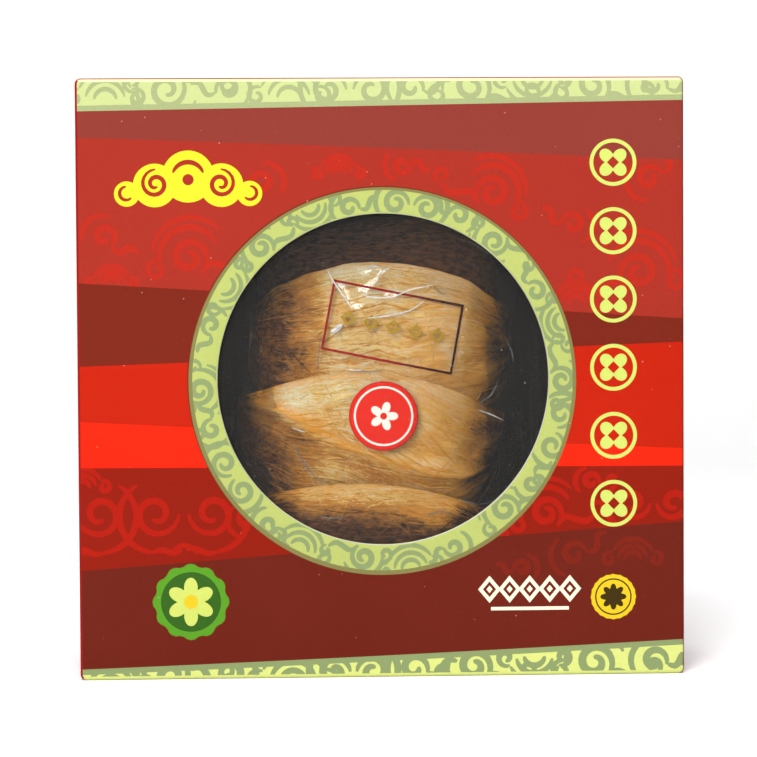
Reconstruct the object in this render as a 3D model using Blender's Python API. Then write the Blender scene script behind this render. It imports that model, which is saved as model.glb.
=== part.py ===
"""Edible bird's nests in a clear pouch, in a red window gift box that stands upright.

Metres, +Z up. The box faces -Y, its bottom lies on z = 0 and its middle is at x = y = 0.
"""
import math

import bmesh
import bpy
from mathutils import Matrix, Vector, noise

# Box
BOX_WIDTH = 0.174
BOX_HEIGHT = 0.172
BOX_DEPTH = 0.062
BOARD = 0.0015
SLIP = 0.0004
LID_SHORT = 0.0015
FOLD_RADIUS = 0.0011
FRONT_Y = -BOX_DEPTH / 2

# Window
WINDOW_RADIUS = 0.0475
WINDOW_X = 0.0004
WINDOW_Z = 0.0857
CUT_CHAMFER = 0.0004
FILM = 0.0003
FILM_SIDE = 0.112
GAP = 0.0003

# Points nearer than this are on the same face
TOUCH = 0.000001

# Pouch
POUCH_WALL = 0.0004
POUCH_FOOT_Z = 0.0038
POUCH_MOUTH_Z = 0.160
POUCH_FRONT_ROUND = 2.5
POUCH_BACK_ROUND = 3.2
# Height and Y of the pouch's front on its middle line, from its foot to its mouth
POUCH_FRONT_LINE = [
    (0.0038, -0.0060), (0.012, -0.0165), (0.024, -0.0245), (0.040, -0.0280), (0.060, -0.0282),
    (0.076, -0.0272), (0.090, -0.0262), (0.105, -0.0218), (0.120, -0.0140), (0.133, -0.0078),
    (0.146, -0.0010), (0.160, 0.0020),
]
POUCH_SEGMENTS = 36
POUCH_LEVELS = 16

# Sticker
STICKER_RADIUS = 0.010
STICKER_THICK = 0.00015
STICKER_X = 0.0006
STICKER_Z = 0.0749

# Nests
NEST_WALL = 0.0045
FOOT_WALL = 0.0030
FOOT_SHARE = 0.20
NEST_STATIONS = 21
STRAND_STEPS = 15
STRAND_RELIEF = 0.0010
LUMP_RELIEF = 0.0012


def clear_scene():
    for old in list(bpy.data.objects):
        bpy.data.objects.remove(old, do_unlink=True)


def finish_material(name, colour, roughness, alpha=1.0, transmission=0.0):
    made = bpy.data.materials.new(name)
    made.use_nodes = True
    shader = made.node_tree.nodes["Principled BSDF"]
    shader.inputs["Base Color"].default_value = (*colour, 1.0)
    shader.inputs["Roughness"].default_value = roughness
    shader.inputs["Metallic"].default_value = 0.0
    shader.inputs["Alpha"].default_value = alpha
    shader.inputs["Transmission Weight"].default_value = transmission
    return made


def add_object(name, mesh_builder, material, sharp_degrees=35):
    """Turns a bmesh into a named object with outward faces, shaded smooth but for sharp edges."""
    bmesh.ops.recalc_face_normals(mesh_builder, faces=mesh_builder.faces)
    mesh = bpy.data.meshes.new(name)
    mesh_builder.to_mesh(mesh)
    mesh_builder.free()
    mesh.shade_smooth()
    mesh.set_sharp_from_angle(angle=math.radians(sharp_degrees))
    mesh.materials.append(material)
    made = bpy.data.objects.new(name, mesh)
    bpy.context.scene.collection.objects.link(made)
    return made


def open_box(width, height, near_y, far_y, wall, open_far):
    """A box of board standing between near_y and far_y, open on one of its two large sides."""
    box = bmesh.new()
    depth = far_y - near_y
    size = Matrix.Diagonal((width, depth, height, 1))
    place = Matrix.Translation((0, (near_y + far_y) / 2, BOX_HEIGHT / 2))
    bmesh.ops.create_cube(box, size=1, matrix=place @ size)
    side = 1 if open_far else -1
    mouth = max(box.faces, key=lambda face: side * face.calc_center_median().y)
    bmesh.ops.inset_individual(box, faces=[mouth], thickness=wall, use_even_offset=True)
    floor = bmesh.ops.extrude_discrete_faces(box, faces=[mouth])["faces"][0]
    bmesh.ops.translate(box, verts=floor.verts, vec=(0, -side * (depth - wall), 0))
    return box


def round_folds(box, edges, radius, segments):
    bmesh.ops.bevel(box, geom=edges, offset=radius, segments=segments, profile=0.5,
                    affect="EDGES", offset_type="OFFSET", clamp_overlap=True)


def is_outer_fold(edge):
    """True for the lid's four front edges and its four outer corner edges along Y."""
    on_front = all(abs(corner.co.y - FRONT_Y) < TOUCH for corner in edge.verts)
    on_corner = all(abs(abs(corner.co.x) - BOX_WIDTH / 2) < TOUCH for corner in edge.verts)
    span = edge.verts[0].co - edge.verts[1].co
    return on_front or (on_corner and abs(span.y) > BOX_DEPTH / 2)


def window_cutter():
    """A turned plug for the round window, flared at the front where the cut board is crushed."""
    overrun = 0.003
    profile = [
        (0.0, FRONT_Y - overrun),
        (WINDOW_RADIUS + CUT_CHAMFER + overrun, FRONT_Y - overrun),
        (WINDOW_RADIUS, FRONT_Y + CUT_CHAMFER),
        (WINDOW_RADIUS, FRONT_Y + BOARD + overrun),
        (0.0, FRONT_Y + BOARD + overrun),
    ]
    plug = bmesh.new()
    corners = [plug.verts.new((radius, y, 0)) for radius, y in profile]
    edges = [plug.edges.new(pair) for pair in zip(corners, corners[1:])]
    bmesh.ops.spin(plug, geom=corners + edges, cent=(0, 0, 0), axis=(0, 1, 0),
                   angle=math.tau, steps=96, use_merge=True)
    bmesh.ops.remove_doubles(plug, verts=plug.verts, dist=1e-6)
    bmesh.ops.translate(plug, verts=plug.verts, vec=(WINDOW_X, 0, WINDOW_Z))
    return plug


def make_lid(material):
    """Front panel with the round window and the four walls that slide over the base."""
    far_y = BOX_DEPTH / 2 - LID_SHORT
    shell = open_box(BOX_WIDTH, BOX_HEIGHT, FRONT_Y, far_y, BOARD, open_far=True)
    folds = [edge for edge in shell.edges if is_outer_fold(edge)]
    round_folds(shell, folds, FOLD_RADIUS, 3)
    lid = add_object("lid", shell, material)
    cutter = add_object("window_cutter", window_cutter(), material)
    cutter.hide_render = True
    cutter.display_type = "WIRE"
    cut = lid.modifiers.new("window", "BOOLEAN")
    cut.operation = "DIFFERENCE"
    cut.solver = "EXACT"
    cut.object = cutter
    return lid


def make_base(material):
    """The tray inside the lid: its floor is the back of the box."""
    margin = 2 * (BOARD + SLIP)
    near_y = FRONT_Y + BOARD + FILM + 2 * GAP
    tray = open_box(BOX_WIDTH - margin, BOX_HEIGHT - margin, near_y, BOX_DEPTH / 2, BOARD,
                    open_far=False)
    back_edges = [
        edge for edge in tray.edges
        if all(abs(corner.co.y - BOX_DEPTH / 2) < TOUCH for corner in edge.verts)
    ]
    round_folds(tray, back_edges, FOLD_RADIUS / 2, 2)
    return add_object("base", tray, material)


def make_window_film(material):
    """Square of clear film glued behind the window."""
    sheet = bmesh.new()
    middle_y = FRONT_Y + BOARD + GAP + FILM / 2
    place = Matrix.Translation((WINDOW_X, middle_y, WINDOW_Z))
    bmesh.ops.create_cube(sheet, size=1,
                          matrix=place @ Matrix.Diagonal((FILM_SIDE, FILM, FILM_SIDE, 1)))
    return add_object("window_film", sheet, material)


def smooth_step(low, high, value):
    share = min(1.0, max(0.0, (value - low) / (high - low)))
    return share * share * (3 - 2 * share)


def pouch_half_width(z):
    """Half the pouch's width: gathered at its foot, full round the nests, wide at its mouth."""
    foot = 0.034 + 0.014 * math.sqrt(min(1.0, max(0.0, (z - POUCH_FOOT_Z) / 0.030)))
    return foot + 0.010 * smooth_step(0.105, POUCH_MOUTH_Z, z)


def pouch_front(z):
    """How far forward the pouch's front reaches at a height: it leans back with the nests."""
    for (low_z, low_y), (high_z, high_y) in zip(POUCH_FRONT_LINE, POUCH_FRONT_LINE[1:]):
        if z <= high_z:
            return low_y + (high_y - low_y) * (z - low_z) / (high_z - low_z)
    return POUCH_FRONT_LINE[-1][1]


def pouch_back(z):
    """How far back the pouch's back reaches at a height, on its middle line."""
    rear = BOX_DEPTH / 2 - BOARD - 2 * GAP
    low = 0.018 * (1 - math.sqrt(min(1.0, max(0.0, (z - POUCH_FOOT_Z) / 0.040))))
    return rear - low - 0.026 * smooth_step(0.120, POUCH_MOUTH_Z, z)


def signed_power(value, power):
    return math.copysign(abs(value) ** power, value)


def pouch_ring(z, inset):
    """Cross-section of the pouch at a height: a rounded oblong, inset for the inner surface."""
    half_width = pouch_half_width(z) - inset
    near = pouch_front(z) + inset
    far = pouch_back(z) - inset
    ring = []
    for step in range(POUCH_SEGMENTS):
        turn = math.tau * step / POUCH_SEGMENTS
        roundness = POUCH_BACK_ROUND if math.sin(turn) > 0 else POUCH_FRONT_ROUND
        across = signed_power(math.cos(turn), 2 / roundness)
        deep = signed_power(math.sin(turn), 2 / roundness)
        ring.append(Vector((half_width * across, (near + far) / 2 + (far - near) / 2 * deep, z)))
    return ring


def pouch_face_y(x, z):
    """Y of the pouch's outer front surface at a point, for what lies on it."""
    across = min(1.0, abs(x) / pouch_half_width(z))
    deep = (1 - across ** POUCH_FRONT_ROUND) ** (1 / POUCH_FRONT_ROUND)
    near, far = pouch_front(z), pouch_back(z)
    return (near + far) / 2 - (far - near) / 2 * deep


def loft(rings):
    """A closed body through rings of equally many points, capped at both ends."""
    body = bmesh.new()
    rows = [[body.verts.new(point) for point in ring] for ring in rings]
    count = len(rows[0])
    for lower, upper in zip(rows, rows[1:]):
        for step in range(count):
            after = (step + 1) % count
            body.faces.new((lower[step], lower[after], upper[after], upper[step]))
    body.faces.new(rows[0])
    body.faces.new(rows[-1])
    return body


def make_pouch(material):
    """Clear pouch round the nests: one thin wall, closed at its foot and open at its mouth."""
    heights = [POUCH_FOOT_Z + (POUCH_MOUTH_Z - POUCH_FOOT_Z) * (step / POUCH_LEVELS) ** 1.25
               for step in range(POUCH_LEVELS + 1)]
    outer = [pouch_ring(z, 0) for z in heights]
    inner = [pouch_ring(max(z, POUCH_FOOT_Z + POUCH_WALL), POUCH_WALL) for z in reversed(heights)]
    return add_object("pouch", loft(outer + inner), material, sharp_degrees=60)


def make_sticker(material):
    """Round paper label that follows the front of the pouch."""
    disc = bmesh.new()
    bmesh.ops.create_circle(disc, cap_ends=True, cap_tris=False, segments=40, radius=STICKER_RADIUS)
    disc.faces.ensure_lookup_table()
    face = disc.faces[0]
    for share in (0.45, 0.35):
        bmesh.ops.inset_individual(disc, faces=[face], thickness=STICKER_RADIUS * share)
    shell = bmesh.ops.extrude_face_region(disc, geom=disc.faces[:])
    lifted = {part for part in shell["geom"] if isinstance(part, bmesh.types.BMVert)}
    for corner in disc.verts:
        x, z = STICKER_X + corner.co.x, STICKER_Z + corner.co.y
        lift = GAP + (STICKER_THICK if corner in lifted else 0)
        corner.co = (x, pouch_face_y(x, z) - lift, z)
    return add_object("sticker", disc, material)


def nest_section(share, nest):
    """One cross-section of a nest: a band from the rim down the outer side and back inside.

    share runs from -1 at the left foot to 1 at the right one.
    """
    swell = (1 - abs(share) ** 2.4) ** 0.55
    body = FOOT_SHARE + (1 - FOOT_SHARE) * swell
    wall = NEST_WALL + FOOT_WALL * abs(share) ** 3
    rim_turn = -math.radians(nest["rim_lift"]) * (1 - share * share)
    last_turn = math.radians(nest["wrap"])
    seed = nest["seed"]
    outer, inner = [], []
    for step in range(STRAND_STEPS):
        part = step / (STRAND_STEPS - 1)
        turn = rim_turn + (last_turn - rim_turn) * part
        lump = noise.noise(Vector((share * 2.2, turn * 1.6, seed)))
        strand = noise.noise(Vector((share * 1.1 + turn, turn * 9.0, seed + 7.3)))
        ridge = (1 if step % 2 else -1) * (0.5 + 0.5 * strand)
        relief = LUMP_RELIEF * lump + STRAND_RELIEF * ridge
        deep = nest["reach"] * body + relief
        tall = nest["drop"] * body + relief
        edge = 1 - 0.45 * (2 * part - 1) ** 6
        outer.append((-deep * math.cos(turn), -tall * math.sin(turn)))
        thin = wall * edge
        inner.append((-(deep - thin) * math.cos(turn), -(tall - thin) * math.sin(turn)))
    x = nest["half_span"] * share
    return [Vector((x, y, z)) for y, z in outer + inner[::-1]]


def make_nest(name, nest, material):
    """A half cup of strands between two feet, leaned, rolled and set in its place in the pile."""
    shares = [math.sin(math.pi / 2 * (2 * step / (NEST_STATIONS - 1) - 1))
              for step in range(NEST_STATIONS)]
    body = loft([nest_section(share * 0.985, nest) for share in shares])
    lean = Matrix.Rotation(-math.radians(nest["lean"]), 4, "X")
    roll = Matrix.Rotation(math.radians(nest["roll"]), 4, "Y")
    yaw = Matrix.Rotation(math.radians(nest["yaw"]), 4, "Z")
    place = Matrix.Translation(nest["middle"])
    bmesh.ops.transform(body, matrix=place @ yaw @ roll @ lean, verts=body.verts)
    return add_object(name, body, material, sharp_degrees=50)


# Each nest in its own frame has its feet on X, its rim level and its outer side towards -Y.
NESTS = {
    "nest_top": {
        "half_span": 0.0395, "reach": 0.030, "drop": 0.034, "rim_lift": 12, "wrap": 92,
        "lean": 34, "roll": 2, "yaw": 0, "middle": (0.0010, 0.0120, 0.0972), "seed": 1.7,
    },
    "nest_middle": {
        "half_span": 0.0400, "reach": 0.031, "drop": 0.040, "rim_lift": 14, "wrap": 92,
        "lean": 3, "roll": 4, "yaw": 0, "middle": (-0.0020, 0.0070, 0.0768), "seed": 11.4,
    },
    "nest_bottom": {
        "half_span": 0.0395, "reach": 0.031, "drop": 0.040, "rim_lift": 15, "wrap": 92,
        "lean": 3, "roll": 4, "yaw": 0, "middle": (-0.0020, 0.0042, 0.0472), "seed": 23.9,
    },
    "nest_back_upper": {
        "half_span": 0.0370, "reach": 0.026, "drop": 0.030, "rim_lift": 12, "wrap": 92,
        "lean": 34, "roll": -3, "yaw": 0, "middle": (0.0010, 0.0225, 0.1130), "seed": 37.2,
    },
    "nest_back_lower": {
        "half_span": 0.0370, "reach": 0.0175, "drop": 0.036, "rim_lift": 12, "wrap": 92,
        "lean": 0, "roll": -3, "yaw": 180, "middle": (0.0010, 0.0090, 0.0640), "seed": 51.6,
    },
}


def main():
    clear_scene()
    red_board = finish_material("red_printed_board", (0.60, 0.035, 0.020), 0.42)
    dark_board = finish_material("dark_lined_board", (0.020, 0.018, 0.019), 0.70)
    clear_film = finish_material("clear_film", (0.95, 0.95, 0.95), 0.05, 0.15, 0.9)
    red_label = finish_material("red_label", (0.80, 0.030, 0.010), 0.45)
    nest_strands = finish_material("nest_strands", (0.62, 0.36, 0.12), 0.50)
    make_lid(red_board)
    make_base(dark_board)
    make_window_film(clear_film)
    make_pouch(clear_film)
    make_sticker(red_label)
    for name, nest in NESTS.items():
        make_nest(name, nest, nest_strands)


main()
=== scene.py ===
# %% [markdown]
# # Edible bird's nests in a window gift box
# The solids of the box, its pouch and its nests come in as a fixed frame. Each step below
# dresses one piece: the printed lid, the dark tray, the window, the nests, the pouch and its
# label. Everything is in metres, the box faces -Y and stands on z = 0.

# %% Load the frame
import math
import random

import bmesh
import bpy
import numpy as np
from mathutils import Matrix, Vector, geometry, noise
from mathutils.bvhtree import BVHTree


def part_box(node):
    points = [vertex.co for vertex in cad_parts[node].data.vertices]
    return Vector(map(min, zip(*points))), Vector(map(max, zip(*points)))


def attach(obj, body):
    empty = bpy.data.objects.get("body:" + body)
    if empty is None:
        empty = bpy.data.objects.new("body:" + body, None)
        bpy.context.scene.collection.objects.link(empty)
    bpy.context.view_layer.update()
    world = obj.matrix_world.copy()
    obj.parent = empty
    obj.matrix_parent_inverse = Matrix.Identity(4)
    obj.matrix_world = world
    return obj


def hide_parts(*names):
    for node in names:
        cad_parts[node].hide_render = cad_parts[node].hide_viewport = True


MM = 0.001
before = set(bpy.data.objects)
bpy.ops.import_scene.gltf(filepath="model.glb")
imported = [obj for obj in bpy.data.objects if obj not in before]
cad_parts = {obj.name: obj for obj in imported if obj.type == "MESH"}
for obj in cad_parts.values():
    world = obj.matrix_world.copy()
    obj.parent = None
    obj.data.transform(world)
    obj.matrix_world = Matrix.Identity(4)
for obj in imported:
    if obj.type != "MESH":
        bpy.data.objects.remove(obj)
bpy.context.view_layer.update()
scene = bpy.context.scene
lid_low, lid_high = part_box("lid")
base_low, base_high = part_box("base")
FRONT_Y = lid_low[1]
BOX_MIDDLE = Vector((0, 0, (lid_low[2] + lid_high[2]) / 2))

# %% [markdown]
# ## Camera
# The photograph looks at the box almost square on, from a little above and a little to the
# left. A long lens keeps the sides of the box nearly parallel. The camera turns about the
# middle of the front, so the view is set by two angles, a distance and a small roll.

# %% Camera
VIEW_DISTANCE = 0.850
VIEW_LEFT = math.radians(2.49)
VIEW_UP = math.radians(2.47)
VIEW_ROLL = math.radians(-0.34)
VIEW_TARGET = Vector((-1.03 * MM, FRONT_Y, 85.99 * MM))
LENS_MM = 141.1

away = Vector((-math.sin(VIEW_LEFT) * math.cos(VIEW_UP),
               -math.cos(VIEW_LEFT) * math.cos(VIEW_UP), math.sin(VIEW_UP)))
camera = bpy.data.objects.new("camera", bpy.data.cameras.new("camera"))
camera.data.lens = LENS_MM
camera.data.sensor_width = 36
camera.data.clip_start = 0.01
camera.location = VIEW_TARGET + away * VIEW_DISTANCE
facing = (-away).to_track_quat("-Z", "Y").to_matrix().to_4x4()
camera.rotation_euler = (facing @ Matrix.Rotation(VIEW_ROLL, 4, "Z")).to_euler()
scene.collection.objects.link(camera)
scene.camera = camera
print("camera stands", round(VIEW_DISTANCE, 3), "m from the window")

# %% [markdown]
# ## Shader maths as plain expressions
# A pattern is a chain of Math nodes. Wrapping a socket in a small class lets the chain be
# written as a formula: adding, multiplying or comparing two values adds the node for it.

# %% Socket arithmetic
class Value:
    """A node socket, or a number, that takes part in arithmetic."""

    def __init__(self, finish, source):
        self.finish = finish
        self.source = source

    def join(self, operation, *others):
        values = [self.source] + [getattr(other, "source", other) for other in others]
        node = self.finish.node("ShaderNodeMath", {"operation": operation},
                                dict(enumerate(values)))
        return Value(self.finish, node.outputs[0])

    def __add__(self, other):
        return self.join("ADD", other)

    def __sub__(self, other):
        return self.join("SUBTRACT", other)

    def __mul__(self, other):
        return self.join("MULTIPLY", other)

    def __truediv__(self, other):
        return self.join("DIVIDE", other)

    def __rsub__(self, other):
        return Value(self.finish, other).join("SUBTRACT", self)

    __radd__ = __add__
    __rmul__ = __mul__

    def __gt__(self, other):
        return self.join("GREATER_THAN", other)

    def __lt__(self, other):
        return self.join("LESS_THAN", other)

    def __pow__(self, other):
        return self.join("POWER", other)

    def __abs__(self):
        return self.join("ABSOLUTE")

    def least(self, other):
        return self.join("MINIMUM", other)

    def most(self, other):
        return self.join("MAXIMUM", other)

    def ramp(self, low, high):
        """0 below low, 1 above high and a soft step between them."""
        node = self.finish.node("ShaderNodeMapRange", {"interpolation_type": "SMOOTHSTEP"},
                                {"Value": self.source, "From Min": low, "From Max": high})
        return Value(self.finish, node.outputs[0])


# %% Finish: one material under construction
FLECK_RADIUS = 0.16


class Finish:
    """A material whose nodes are added one call at a time."""

    def __init__(self, name, **constants):
        self.material = bpy.data.materials.new(name)
        self.material.use_nodes = True
        self.tree = self.material.node_tree
        self.shader = self.tree.nodes["Principled BSDF"]
        self.output = self.tree.nodes["Material Output"]
        for socket, number in constants.items():
            self.shader.inputs[socket.replace("_", " ")].default_value = number

    def node(self, kind, settings=None, inputs=None):
        made = self.tree.nodes.new(kind)
        for setting, choice in (settings or {}).items():
            setattr(made, setting, choice)
        for socket, source in (inputs or {}).items():
            self.feed(made.inputs[socket], source)
        return made

    def feed(self, socket, source):
        source = getattr(source, "source", source)
        if isinstance(source, bpy.types.NodeSocket):
            self.tree.links.new(source, socket)
        else:
            socket.default_value = source

    def set(self, socket, source):
        self.feed(self.shader.inputs[socket], source)

    def place(self):
        """X, Y and Z of the point in metres, and the same as one vector socket."""
        where = self.node("ShaderNodeTexCoord").outputs["Object"]
        parts = self.node("ShaderNodeSeparateXYZ", None, {0: where})
        return [Value(self, out) for out in parts.outputs], where

    def attribute(self, name):
        return self.node("ShaderNodeAttribute", {"attribute_name": name})

    def stretch(self, vector, scale):
        return self.node("ShaderNodeMapping", None, {"Vector": vector, "Scale": scale}).outputs[0]

    def noise(self, vector, scale, detail=3.0, roughness=0.5, distortion=0.0):
        made = self.node("ShaderNodeTexNoise", None, {
            "Vector": vector, "Scale": scale, "Detail": detail,
            "Roughness": roughness, "Distortion": distortion})
        return Value(self, made.outputs["Fac"])

    def flecks(self, vector, scale, share):
        """Small round specks: 1 inside a speck, for about the given share of the cells."""
        cells = self.node("ShaderNodeTexVoronoi", None, {"Vector": vector, "Scale": scale})
        near = Value(self, cells.outputs["Distance"]) < FLECK_RADIUS
        pick = self.node("ShaderNodeSeparateColor", None, {0: cells.outputs["Color"]})
        return near * (Value(self, pick.outputs[0]) < share)

    def mix(self, factor, first, second, blend="MIX"):
        made = self.node("ShaderNodeMix", {"data_type": "RGBA", "blend_type": blend})
        self.feed(made.inputs["Factor"], factor)
        self.feed(made.inputs[6], first)
        self.feed(made.inputs[7], second)
        return made.outputs[2]

    def blend_shaders(self, factor, first, second):
        return self.node("ShaderNodeMixShader", None, {0: factor, 1: first, 2: second}).outputs[0]

    def bump(self, height, distance, strength=1.0, shader=None):
        made = self.node("ShaderNodeBump", None, {
            "Height": height, "Distance": distance, "Strength": strength})
        self.feed((shader or self.shader).inputs["Normal"], made.outputs[0])

    def finish_with(self, shader):
        self.feed(self.output.inputs["Surface"], shader)


def smooth_step(low, high, number):
    part = min(1.0, max(0.0, (number - low) / (high - low)))
    return part * part * (3 - 2 * part)


def paint(red, green, blue):
    """A colour given as it looks on a screen, 0 to 255, turned into the linear one nodes use."""
    shares = [channel / 255 for channel in (red, green, blue)]
    linear = [share / 12.92 if share <= 0.04045 else ((share + 0.055) / 1.055) ** 2.4
              for share in shares]
    return (*linear, 1.0)


def dress_node(name, finish):
    """Gives a solid of the frame its finish."""
    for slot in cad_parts[name].material_slots:
        slot.material = finish.material


def new_object(name, builder, finish):
    """Turns a bmesh into a smooth object that wears a finish."""
    mesh = bpy.data.meshes.new(name)
    builder.to_mesh(mesh)
    builder.free()
    mesh.shade_smooth()
    mesh.materials.append(finish.material)
    made = bpy.data.objects.new(name, mesh)
    scene.collection.objects.link(made)
    return made


def add_piece(name, builder, finish, smooth_degrees):
    """Turns a bmesh into a finished piece that stays with the box."""
    piece = new_object(name, builder, finish)
    piece.data.set_sharp_from_angle(angle=math.radians(smooth_degrees))
    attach(piece, "root")
    print(name, len(piece.data.polygons), "faces")
    return piece


def thicken(piece, name, thickness, offset):
    """Gives a sheet its thickness: to both sides with an offset of 0, outwards with 1."""
    wall = piece.modifiers.new(name, "SOLIDIFY")
    wall.thickness = thickness
    wall.offset = offset


def only(kind, parts):
    """Those of the parts that are vertices, edges or faces, as the kind says."""
    return [part for part in parts if isinstance(part, kind)]


# %% [markdown]
# ## The printed front
# The front of the lid is flat paper, and its print is only colour. Leaning stripes, a round
# border and old cloud scrolls have crisp edges that a noise pattern can't give, so the panel is
# cut into areas along them, as a printmaker cuts a stencil, and each face of the panel keeps the
# ink of its area in a colour attribute. A constrained triangulation does the cutting: it takes
# overlapping outlines and says which of them each small triangle lies in.

# %% Inks
# The two upper reds, rose brown and brick, are paler and greyer than the reds below them: their
# colour holds a painted sheen from the light above.
INK_COLOURS = {
    "top_leaf": (169, 178, 119), "ring_leaf": (156, 165, 91), "foot_leaf": (186, 193, 110),
    "mark_leaf": (176, 187, 90), "top_sage": (140, 149, 104), "sage": (119, 133, 88),
    # The top fold's cream is a painted highlight.
    "fold_cream": (196, 199, 150), "rose_brown_with_sheen": (120, 46, 38), "brick_with_sheen": (141, 38, 26),
    "brick_with_sheen_scroll": (157, 33, 18), "maroon": (104, 29, 15), "scarlet": (165, 24, 0),
    "vermilion": (204, 27, 0), "dark_red": (124, 20, 3), "dark_red_scroll": (150, 19, 2),
    "wine": (94, 26, 14), "wine_scroll": (108, 26, 12), "olive_line": (112, 108, 62),
    "shadow_red": (104, 34, 16), "gold": (202, 190, 36), "seal_gold": (196, 168, 26),
    "seal_line": (56, 42, 10), "emblem_green": (76, 134, 30), "emblem_dark": (46, 86, 24),
    "ivory": (206, 204, 180), "white_board": (194, 194, 182), "wrap_red": (141, 16, 12),
    "grey_board": (104, 98, 92),
}
INK = {name: paint(*channels) for name, channels in INK_COLOURS.items()}

# %% Size of the panel and of the stripes, in millimetres
HALF_WIDTH = lid_high[0] / MM
PANEL_TOP = lid_high[2] / MM
FOLD = 1.1
CORNER = 0.5
WINDOW_X, WINDOW_Z, WINDOW_RADIUS = 0.4, 85.7, 47.5
CRUSH = 0.4
RING_X, RING_Z, RING_RADIUS = 0.2, 85.1, 55.6
RING_LINE = 1.3
STRIP_LINE = 1.6
OVERHANG = 1.02
STRIPE_STEPS = 12
ROUND_STEPS = 128

# Lower edge of each stripe: height at the left fold, at the right fold, and rise in the middle
STRIPE_EDGES = [
    ("top_leaf", 162.6, 165.3, 0.0),
    ("rose_brown_with_sheen", 155.3, 148.0, 0.25),
    ("brick_with_sheen", 113.9, 102.5, 0.15),
    ("maroon", 89.9, 96.0, -0.15),
    ("scarlet", 74.3, 65.1, -0.2),
    ("vermilion", 61.0, 60.2, 0.0),
    ("dark_red", 31.3, 44.3, 0.0),
    ("wine", 3.1, 10.1, -0.4),
]


def stripe_edge(left, right, rise):
    """Points of a stripe's lower edge from left to right."""
    points = []
    for step in range(STRIPE_STEPS + 1):
        across = step / STRIPE_STEPS
        sag = rise * (1 - (2 * across - 1) ** 2)
        points.append((HALF_WIDTH * (2 * across - 1) * OVERHANG,
                       left + (right - left) * across + sag))
    return points


# %% Pens: every stroke of the print is an outline round a line of points
BLUNT_END = 0.35


def ribbon(points, width):
    """Outline of a brush stroke along points: full in its middle, narrower at its ends."""
    line = [Vector(point) for point in points]
    left, right = [], []
    for step, point in enumerate(line):
        before = line[max(0, step - 1)]
        after = line[min(len(line) - 1, step + 1)]
        side = (after - before).orthogonal().normalized()
        full = math.sin(math.pi * step / (len(line) - 1)) ** 0.5
        swell = BLUNT_END + (1 - BLUNT_END) * full
        left.append(point + side * width / 2 * swell)
        right.append(point - side * width / 2 * swell)
    return left + right[::-1]


def polar(centre, radius, angle):
    """The point at a distance and an angle, in radians, from a centre."""
    return (centre[0] + radius * math.cos(angle), centre[1] + radius * math.sin(angle))


def spiral(centre, radius, start, turns, hand=1, core=0.22, steps=30):
    """Points of a scroll that winds in from radius to its core; start is in degrees."""
    points = []
    for step in range(steps + 1):
        part = step / steps
        angle = math.radians(start) + hand * math.tau * turns * part
        reach = radius * (1 - (1 - core) * part ** 0.9)
        points.append(polar(centre, reach, angle))
    return points


def bow(centre, radius, start, end, steps=14):
    """Points of an arc; the angles are in degrees."""
    return [polar(centre, radius, math.radians(start + (end - start) * step / steps))
            for step in range(steps + 1)]


def wave(start, end, rise, steps=16):
    """Points of an S-shaped stroke between two places."""
    first, last = Vector(start), Vector(end)
    side = (last - first).orthogonal().normalized() * rise
    points = []
    for step in range(steps + 1):
        part = step / steps
        bend = math.sin(math.tau * part) * (1 - 0.3 * part)
        points.append(first.lerp(last, part) + side * bend)
    return points


def disc(centre, radius, steps=48):
    return [polar(centre, radius, math.tau * step / steps) for step in range(steps)]


def blossom(centre, radius, petals, depth, steps=60, turn=90):
    """Outline of a flower or a scalloped seal."""
    points = []
    for step in range(steps):
        angle = math.tau * step / steps
        reach = radius * (1 - depth + depth * abs(math.cos(angle * petals / 2)))
        points.append(polar(centre, reach, angle + math.radians(turn)))
    return points


# %% Scroll motifs, each drawn about its own middle with a size of about 1
def cloud_motif():
    """A cloud: one large scroll, two rolling bows above it and a tail that drifts off."""
    return [
        (spiral((0, 0), 0.55, -60, 1.45, 1), 0.17),
        (bow((0.02, 0.0), 0.82, 20, 190), 0.15),
        (bow((0.06, 0.02), 1.06, 35, 165), 0.12),
        (spiral((-0.92, -0.22), 0.30, 60, 1.1, 1, 0.3, 18), 0.13),
        (wave((0.30, -0.48), (1.55, -0.30), 0.20), 0.15),
        (spiral((1.62, -0.12), 0.26, -90, 1.0, 1, 0.3, 16), 0.12),
    ]


def pair_motif():
    """Two scrolls that face each other over a small point, as on old roof tiles."""
    strokes = []
    for side in (1, -1):
        centre = (0.62 * side, 0.05)
        start = 180 if side > 0 else 0
        strokes.append((spiral(centre, 0.52, start, 1.35, side, 0.25), 0.16))
        strokes.append((bow((0.62 * side, 0.0), 0.80, 270, 270 + 150 * side), 0.15))
        strokes.append((wave((0.05 * side, -0.75), (0.70 * side, -0.80), 0.05), 0.14))
    strokes.append((bow((0, -0.95), 0.30, 20, 160), 0.12))
    return strokes


def wisp_motif():
    """A small drifting curl."""
    return [
        (spiral((0, 0), 0.42, 200, 1.1, -1, 0.3, 20), 0.16),
        (wave((-0.42, -0.12), (-1.25, 0.18), 0.16), 0.15),
        (bow((0.1, 0.0), 0.66, -50, 80), 0.13),
    ]


def crest_motif():
    """Three bows one in another with a curl at each side, as on a cloud's crest."""
    return [
        (bow((0, -0.3), 0.35, 5, 175), 0.13),
        (bow((0, -0.3), 0.62, 10, 170), 0.13),
        (bow((0, -0.3), 0.90, 25, 155), 0.13),
        (spiral((0.98, -0.22), 0.30, 120, 1.1, -1, 0.3, 18), 0.13),
        (spiral((-0.98, -0.22), 0.30, 60, 1.1, 1, 0.3, 18), 0.13),
    ]


BROAD_STROKE = 1.9
FINE_STROKE = 1.6
WIDE_STROKE = 2.1
USUAL_WIDTH = 0.15
MOTIFS = {"cloud": cloud_motif(), "pair": pair_motif(), "wisp": wisp_motif(),
          "crest": crest_motif()}


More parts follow.
